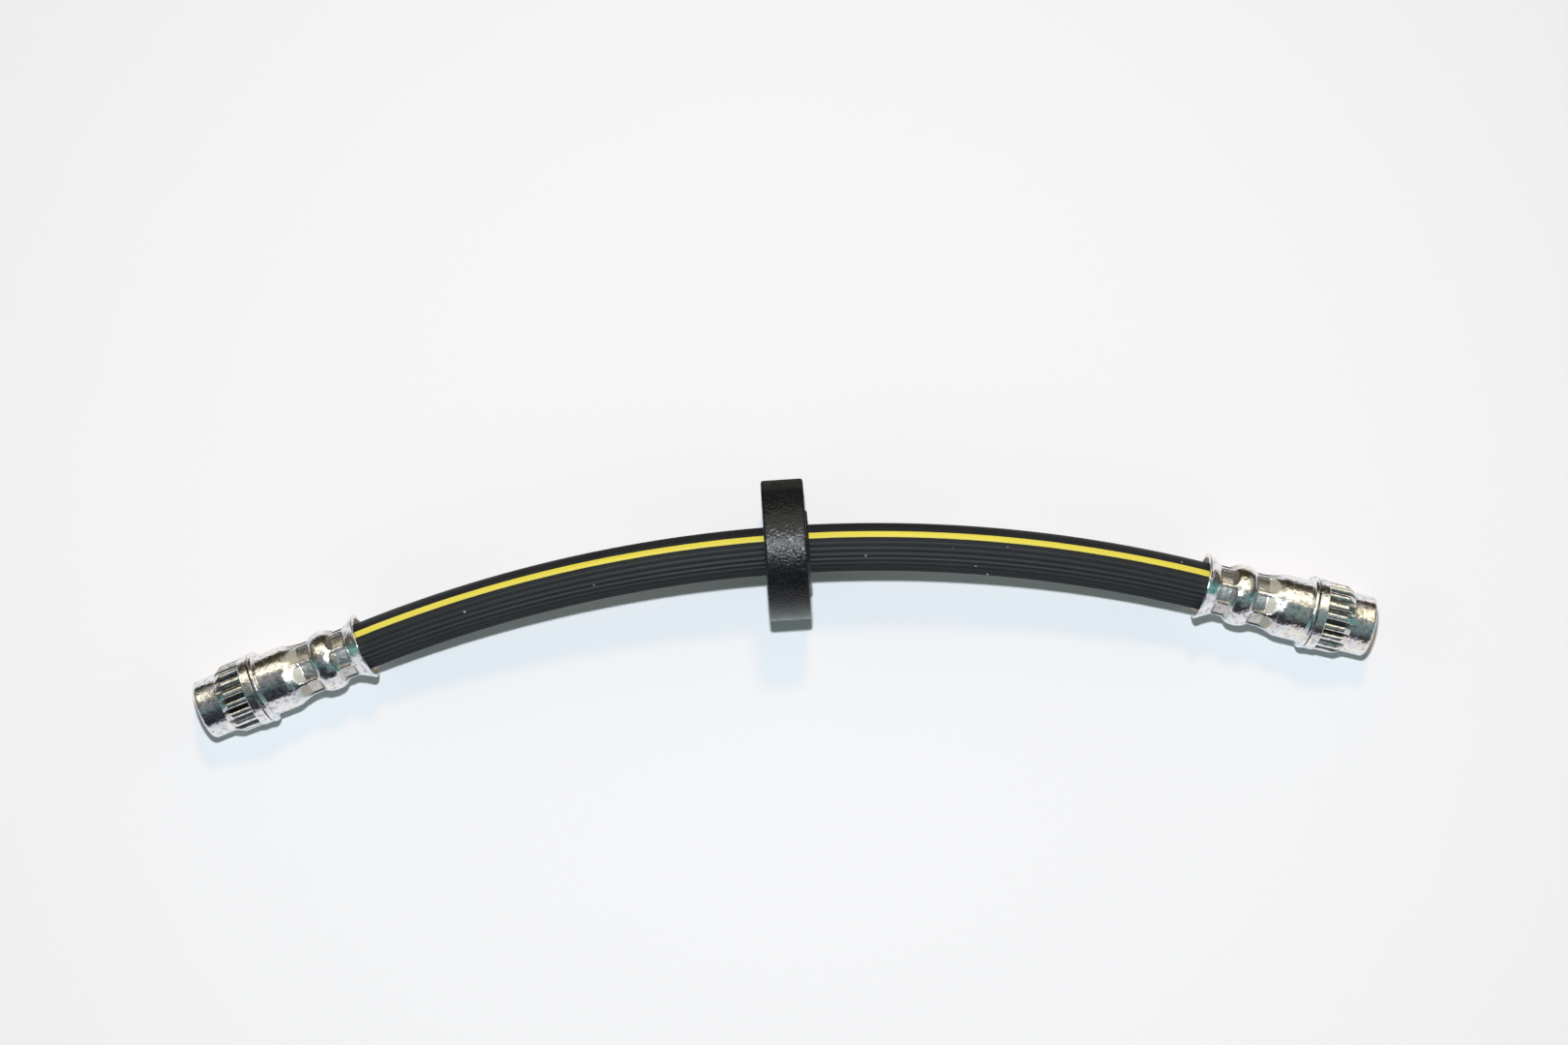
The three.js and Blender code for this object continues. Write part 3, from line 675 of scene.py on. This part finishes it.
def shell_outside():
    """The cup's outer profile as (radius, station): rim, fillet, barrel, shoulder, slope, rear
    ring, bulge, front ring and flared mouth. The numbers place the curves' handles."""
    return np.concatenate([
        [[RIM_RADIUS - RIM_ROUND, SHELL_START]],
        bezier((RIM_RADIUS - RIM_ROUND, SHELL_START), (RIM_RADIUS, SHELL_START),
               (RIM_RADIUS, SHELL_START), (RIM_RADIUS, SHELL_START + 0.4), 6),
        bezier((RIM_RADIUS, SHELL_START + 0.4), (RIM_RADIUS, RIM_END),
               (RIM_RADIUS - RIM_ROUND, RIM_END), (RIM_RADIUS - 0.6, RIM_END + 0.1), 8),
        bezier((RIM_RADIUS - 0.6, RIM_END + 0.1), (BARREL_RADIUS + 0.2, RIM_END + 0.15),
               (BARREL_RADIUS, RIM_END + 0.3), (BARREL_RADIUS, FILLET_END), 10),
        [[BARREL_RADIUS, FILLET_END]],
        bezier((BARREL_RADIUS, SHOULDER_START), (BARREL_RADIUS, SHOULDER_START + 1.2),
               (BARREL_RADIUS - 0.1, BARREL_END - 0.5), (SHOULDER_RADIUS, BARREL_END + 0.1), 16),
        bezier((SHOULDER_RADIUS, BARREL_END + 0.1), (SHOULDER_RADIUS - 0.35, BARREL_END + 0.9),
               (CORNER_RADIUS_REAR + 0.25, REAR_START - 0.6), (CORNER_RADIUS_REAR, REAR_START), 14),
        [[CORNER_RADIUS_REAR, REAR_START]],
        bezier((CORNER_RADIUS_REAR, REAR_END), (BULGE_RADIUS + 0.35, REAR_END + 1.3),
               (BULGE_RADIUS + 0.42, FRONT_START - 1.3), (CORNER_RADIUS_FRONT, FRONT_START), 36),
        [[CORNER_RADIUS_FRONT, FRONT_START]],
        bezier((CORNER_RADIUS_FRONT, FRONT_END), (CORNER_RADIUS_FRONT + 0.35, FRONT_END + 0.9),
               (MOUTH_RADIUS - 0.75, MOUTH_END - 1.5), (MOUTH_RADIUS, MOUTH_END - MOUTH_ROUND), 20),
        bezier((MOUTH_RADIUS, MOUTH_END - MOUTH_ROUND), (MOUTH_RADIUS + 0.1, MOUTH_END - 0.1),
               (MOUTH_RADIUS - 0.15, MOUTH_END), (MOUTH_RADIUS - MOUTH_ROUND, MOUTH_END), 8),
    ])


def shell_inside():
    """The cup's inner profile, from the mouth back to its floor and the hole in it."""
    rear_inner, front_inner = REAR_FLAT - SHELL_WALL, FRONT_FLAT - SHELL_WALL
    bulge_inner, barrel_inner = BULGE_RADIUS - 0.7, BARREL_RADIUS - SHELL_WALL
    hole_radius = NECK_RADIUS + 0.3
    return np.concatenate([
        [[MOUTH_RADIUS - MOUTH_ROUND, MOUTH_END], [MOUTH_INNER + 0.1, MOUTH_END]],
        [[MOUTH_INNER, MOUTH_END - 0.1], [front_inner, FRONT_END + SHELL_WALL / 3]],
        bezier((front_inner, FRONT_START), (bulge_inner, FRONT_START - 1.3),
               (bulge_inner, REAR_END + 1.3), (rear_inner, REAR_END), 10),
        [[rear_inner, REAR_END], [rear_inner, REAR_START - SHELL_WALL / 3]],
        [[barrel_inner, BARREL_END - SHELL_WALL / 2], [barrel_inner, FLOOR_END]],
        [[hole_radius, FLOOR_END], [hole_radius, SHELL_START]],
    ])


def crimp_shell(name, end):
    """The cup turned about the axis and pressed by the jaws. Painted shade lies on the ridges'
    sides and thinly on the rings, and the marks that the jaws leave are duller than the plate and
    beige, the beige partly a painted cream reflection."""
    outer = divided(shell_outside(), ROW_SPACING)
    outline = np.concatenate([outer, shell_inside()])
    radius, station, angle = turned_about(outline, even_angles(JAW_COUNT * JAW_SIDES))
    is_outer = (np.arange(len(outline)) < len(outer))[:, None]
    crimped = np.where(is_outer, pressed(radius, station, angle), radius)
    points = round_fitting(end, SHELL_TURN, crimped, station, angle)
    piece = closed_surface(name, points, SHELL_CREASE)[0]
    lowered = np.where(is_outer, np.clip((radius - crimped) / MARK_DEPTH, 0.0, 1.0), 0.0)
    rise = ridge_rise(angle)
    flat_shade = np.where(station < REAR_START, 0.0, FLAT_SHADE)
    # Painted shade along the ridges' sides and thinly on the pressed rings; then the jaw marks,
    # whose beige is partly a painted cream reflection.
    keep_layer(piece, "painted_shade", lowered * np.maximum(4 * rise * (1 - rise), flat_shade))
    keep_layer(piece, "pressed", lowered * np.where(station < REAR_START, 1.0, FRONT_MARK_AND_SHEEN))
    return piece


pressed_zinc = zinc_material("pressed_zinc", 210.0, 850.0, 0.20, 0.0002)
shells = {}
for side, end in (("left", -1), ("right", 1)):
    shells[side] = crimp_shell(f"{side}_crimped_cup", end)
    shells[side].data.materials.append(pressed_zinc)
    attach(shells[side], "root")
    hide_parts(f"{side}_crimp_shell")

# Grommet: a thick ring of moulded rubber pushed along the hose, with rounded edges, flat sides
# and a low hub on its right. Its outer face is dull and dusty, with a pale bloom towards its edges
# that is partly a painted reflection.
GROMMET_RADIUS, GROMMET_WIDTH, GROMMET_ROUND, GROMMET_BORE = 15.4, 9.2, 0.6, 5.4
HUB_RADIUS, HUB_HEIGHT = 8.4, 0.5
HUB_CORNER = ((0.0, 0.5), (0.15, 0.1), (0.3, 0.0))  # (in from the hub's radius, below its top)
ROUND_STEPS = 8
GROMMET_SPACING = 0.5
GROMMET_SIDES = 240
# The pale bloom and painted reflection on the outer face's two sides.
NEAR_BLOOM_AND_SHEEN = (-0.0105, -0.0153)  # across the arc from the ring's middle: where it starts, is full
FAR_BLOOM_AND_SHEEN = (0.0128, 0.0154)


def grommet_outline():
    """The ring's section as (radius, distance along the hose), with its edges as quarter rounds."""
    half = GROMMET_WIDTH / 2
    outer = GROMMET_RADIUS - GROMMET_ROUND
    quarter = np.linspace(0.0, math.pi / 2, ROUND_STEPS)
    left = np.stack([
        outer + GROMMET_ROUND * np.sin(quarter), -half + GROMMET_ROUND * (1 - np.cos(quarter)),
    ], -1)
    top = half + HUB_HEIGHT
    hub = [[HUB_RADIUS - inward, top - below] for inward, below in HUB_CORNER]
    bore = [[GROMMET_BORE, top], [GROMMET_BORE, -half]]
    section = np.concatenate([bore[1:], left, left[::-1] * [1.0, -1.0], hub, bore])
    return divided(section, GROMMET_SPACING)[:-1]


def grommet_ring():
    """The section carried round the hose at the ring's place."""
    radius, along, angle = turned_about(grommet_outline(), even_angles(GROMMET_SIDES))
    point, direction = centreline(GROMMET_OFFSET)
    on_axis = point + (along * MM)[..., None] * direction
    return round_line(on_axis, np.cross(direction, arc_up), radius * MM, angle)


def grommet_rubber():
    """Black moulded rubber with a grainy skin, a little dust, and a pale bloom on the sides that
    face away from the arc's top, streaked along the hose, which is partly a painted reflection."""
    material, nodes, principled = new_material("grommet_rubber")
    grime = nodes.add("ShaderNodeGroup", {
        "Patch Scale": 160.0, "Grain Scale": 1650.0, "Speck Scale": 480.0,
    }, node_tree=dust)
    rubber = nodes.ramp(grime["Grain"], [
        (0.35, (0.002, 0.002, 0.002)), (0.60, (0.004, 0.004, 0.005)), (0.75, (0.011, 0.012, 0.013)),
    ])
    dusty = nodes.mix(grime["Dust"], rubber, (0.020, 0.023, 0.026))
    place = nodes.place()
    # Painted reflection: the outer face is paler towards its near and far sides across the arc,
    # streaked like bloom.
    across = nodes.compute("ADD", nodes.parts(place)["Y"], -float(grommet_middle[1]))
    edge = nodes.compute("MAXIMUM", nodes.remap(across, *NEAR_BLOOM_AND_SHEEN),
                         nodes.remap(across, *FAR_BLOOM_AND_SHEEN, 0.0, 0.8))
    streak = nodes.noise(nodes.scaled(place, (520.0, 160.0, 160.0)), 1.0, 4.0)
    bloom_and_sheen = nodes.compute("MULTIPLY", edge, nodes.remap(streak, 0.3, 0.7, 0.25, 1.0))
    bump = nodes.add("ShaderNodeBump", {
        "Height": grime["Grain"], "Strength": 1.0, "Distance": 0.00018,
    })
    nodes.fill(principled, {
        "Base Color": nodes.mix(bloom_and_sheen, dusty, (0.085, 0.108, 0.10)),
        "Roughness": nodes.remap(grime["Grain"], 0.3, 0.7, 0.22, 0.36),
        "Specular IOR Level": 0.34,
        "Normal": bump["Normal"],
    })
    return material


grommet = closed_surface("grommet_ring", grommet_ring())[0]
grommet.data.materials.append(grommet_rubber())
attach(grommet, "root")
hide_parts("grommet")

# Floor and light: white paper under a small bluish flash beside the lens, a weak warm lamp
# behind the arc that softens the shadows, and low light from the walls: warm behind, cool in
# front, neutral at the sides. What metal and rubber mirror is the same room in bands: a cream
# window, dark stretches, white sides, and olive and turquoise towards the ends.
FLOOR_SIZE = 4.0
FLASH_PLACE = (0.0, 0.135, 0.82)
FLASH_SIZE = 0.03
FLASH_POWER = 5.08
FLASH_COLOUR = (1.012, 1.088, 1.168)
WARM_PLACE = (0.24, 1.44, 1.93)
WARM_SIZE = 0.3
WARM_POWER = 9.6
WARM_COLOUR = (1.0, 0.47, 0.16)
WARM_WALL = (0.38, 0.31, 0.23)
COOL_WALL = (0.19, 0.30, 0.325)
SIDE_WALL = (0.43, 0.50, 0.50)
CEILING = (0.05, 0.055, 0.06)
BACKGROUND = (0.91, 0.91, 0.91)
NEAR_PAPER = (0.925, 0.925, 0.925)
FAR_PAPER = (0.82, 0.82, 0.82)
SHADED_PAPER = (0.055, 0.045, 0.028)
BACKDROP_WHITE = (0.90, 0.90, 0.90)
BLACK = (0.0, 0.0, 0.0)
FLASH_MIRRORED = (0.0, 0.12, 0.99)  # direction and colour of the flash's glow in metal
FLASH_GLOW = (1.08, 1.05, 1.17)

floor_mesh = bpy.data.meshes.new("floor")
reach = FLOOR_SIZE / 2
floor_corners = [(-reach, -reach, 0), (reach, -reach, 0), (reach, reach, 0), (-reach, reach, 0)]
floor_mesh.from_pydata(floor_corners, [], [(0, 1, 2, 3)])
floor = bpy.data.objects.new("floor", floor_mesh)
bpy.context.collection.objects.link(floor)


def white_paper():
    """White paper, with painted shade making it a little darker beyond the arc, where the flash
    lights it more, and that mirrors see shaded there. Well away from the hose the camera sees it
    plain white, as the sweep of a backdrop out of the lamps' reach."""
    material, nodes, principled = new_material("paper")
    place = nodes.place()
    across = nodes.parts(place)["Y"]
    path = nodes.add("ShaderNodeLightPath")
    # Painted shade: the paper is darker towards the far side, where the flash stands and lights it
    # more.
    paper = nodes.mix(nodes.remap(across, -0.13, 0.15), NEAR_PAPER, FAR_PAPER)
    beyond_arc = nodes.remap(across, 0.016, 0.026)
    shaded = nodes.compute("MULTIPLY", beyond_arc, path["Is Glossy Ray"])
    colour = nodes.mix(shaded, paper, SHADED_PAPER)
    distance = nodes.add("ShaderNodeVectorMath", {0: place}, operation="LENGTH")["Value"]
    sweep = nodes.compute("MULTIPLY", nodes.remap(distance, 0.2, 0.5), path["Is Camera Ray"])
    nodes.fill(principled, {
        "Base Color": nodes.mix(sweep, colour, BLACK),
        "Emission Color": nodes.mix(sweep, BLACK, BACKDROP_WHITE),
        "Emission Strength": 1.0,
        "Roughness": 0.9,
        "Specular IOR Level": 0.0,
    })
    return material


floor.data.materials.append(white_paper())


def area_lamp(name, place, size, power, colour):
    """A round lamp that faces the middle of the hose."""
    data = bpy.data.lights.new(name, "AREA")
    data.shape = "DISK"
    data.size = size
    data.energy = power
    data.color = colour
    lamp = bpy.data.objects.new(name, data)
    lamp.location = place
    lamp.rotation_euler = Vector(place).to_track_quat("Z", "Y").to_euler()
    bpy.context.collection.objects.link(lamp)
    return lamp


area_lamp("flash", FLASH_PLACE, FLASH_SIZE, FLASH_POWER, FLASH_COLOUR)
warm_lamp = area_lamp("warm_lamp", WARM_PLACE, WARM_SIZE, WARM_POWER, WARM_COLOUR)
warm_lamp.visible_glossy = False


def wall_light(nodes, parts, sideways):
    """The room that lights matt surfaces: cool and warm walls, side walls and a dim ceiling."""
    walls = nodes.mix(nodes.remap(parts["Y"], -0.35, 0.35), COOL_WALL, WARM_WALL)
    walls = nodes.mix(nodes.remap(sideways, 0.60, 0.80), walls, SIDE_WALL)
    return nodes.mix(nodes.remap(parts["Z"], 0.60, 0.80), walls, CEILING)


def mirrored_room(nodes, place, parts, sideways):
    """The room that metal mirrors: a ramp over the direction's angle from the zenith, from the
    near side to the far side, clouded, with the flash's glow, and another ramp at the ends."""
    zenith_angle = nodes.compute("ARCTAN2", parts["Y"], parts["Z"])
    turn = nodes.remap(zenith_angle, -math.pi / 2, math.pi / 2)

    def by_angle(stops):
        """Ramp stops from degrees off the zenith, -90 on the near side and 90 on the far side."""
        return [((degrees + 90.0) / 180.0, colour) for degrees, colour in stops]

    left_bands = nodes.ramp(turn, by_angle([
        (-88, (0.84, 0.82, 0.87)), (-75, (0.76, 0.75, 0.80)), (-72, (0.035, 0.036, 0.045)),
        (-34, (0.035, 0.035, 0.045)), (-22, (0.06, 0.10, 0.105)), (-8, (0.15, 0.18, 0.19)),
        (31, (0.30, 0.30, 0.29)), (35, (1.05, 1.0, 0.80)), (44, (1.65, 1.56, 1.28)),
        (60, (1.50, 1.38, 1.06)), (70, (0.12, 0.10, 0.065)), (88, (0.06, 0.05, 0.03)),
    ]))
    right_bands = nodes.ramp(turn, by_angle([
        (-88, (0.84, 0.82, 0.87)), (-69, (0.78, 0.76, 0.82)), (-66, (0.025, 0.025, 0.03)),
        (-52, (0.03, 0.03, 0.035)), (-42, (0.13, 0.16, 0.16)), (-14, (0.16, 0.24, 0.24)),
        (12, (0.26, 0.30, 0.29)), (20, (1.10, 1.04, 0.84)), (32, (1.65, 1.57, 1.30)),
        (62, (1.50, 1.38, 1.06)), (72, (0.10, 0.085, 0.05)), (88, (0.05, 0.045, 0.03)),
    ]))
    bands = nodes.mix(nodes.remap(parts["X"], -0.08, 0.08), left_bands, right_bands)

    cloud = nodes.noise(place, 21.0, 4.0, 0.75)
    green = nodes.add("ShaderNodeSeparateColor", {"Color": bands})["Green"]
    strength = nodes.add("ShaderNodeMix", {
        "Factor": nodes.remap(green, 0.35, 0.70, 1.0, 0.0),
        2: nodes.remap(cloud, 0.35, 0.65, 0.88, 1.12),  # on bright bands
        3: nodes.remap(cloud, 0.38, 0.62, 0.25, 1.85),  # on dark ones
    }, data_type="FLOAT")[0]
    clouded = nodes.add("ShaderNodeVectorMath", {0: bands, "Scale": strength},
                        operation="SCALE")[0]

    away = nodes.add("ShaderNodeVectorMath", {0: place, 1: FLASH_MIRRORED},
                     operation="DISTANCE")["Value"]
    ragged = nodes.compute("MULTIPLY_ADD", cloud, -0.16, away)
    glowing = nodes.mix(nodes.remap(ragged, 0.045, 0.125, 1.0, 0.0), clouded, FLASH_GLOW)

    end_bands = nodes.ramp(nodes.remap(parts["Y"], -1.0, 1.0), [
        (0.18, (0.78, 0.77, 0.82)), (0.23, (0.66, 0.70, 0.72)), (0.27, (0.10, 0.26, 0.25)),
        (0.38, (0.20, 0.50, 0.47)), (0.43, (0.10, 0.20, 0.19)), (0.56, (0.09, 0.09, 0.075)),
        (0.79, (0.16, 0.13, 0.085)), (0.88, (0.62, 0.60, 0.62)),
    ])
    return nodes.mix(nodes.remap(sideways, 0.55, 0.75), glowing, end_bands)


def studio_world():
    """Wall light for matt surfaces and what they light in turn, the banded room for mirrors, and
    plain white for the camera."""
    world = bpy.data.worlds.new("room")
    bpy.context.scene.world = world
    world.use_nodes = True
    world.node_tree.nodes.clear()
    nodes = Nodes(world.node_tree)
    place = nodes.add("ShaderNodeTexCoord")["Generated"]
    parts = nodes.parts(place)
    sideways = nodes.compute("ABSOLUTE", parts["X"])
    path = nodes.add("ShaderNodeLightPath")
    unscattered = nodes.compute("LESS_THAN", path["Diffuse Depth"], 0.5)
    in_mirror = nodes.compute("MULTIPLY", path["Is Glossy Ray"], unscattered)
    lit = nodes.mix(in_mirror, wall_light(nodes, parts, sideways),
                    mirrored_room(nodes, place, parts, sideways))
    seen = nodes.mix(path["Is Camera Ray"], lit, BACKGROUND)
    background = nodes.add("ShaderNodeBackground", {"Color": seen})["Background"]
    nodes.add("ShaderNodeOutputWorld", {"Surface": background})


studio_world()
bpy.context.scene.view_settings.view_transform = "Standard"
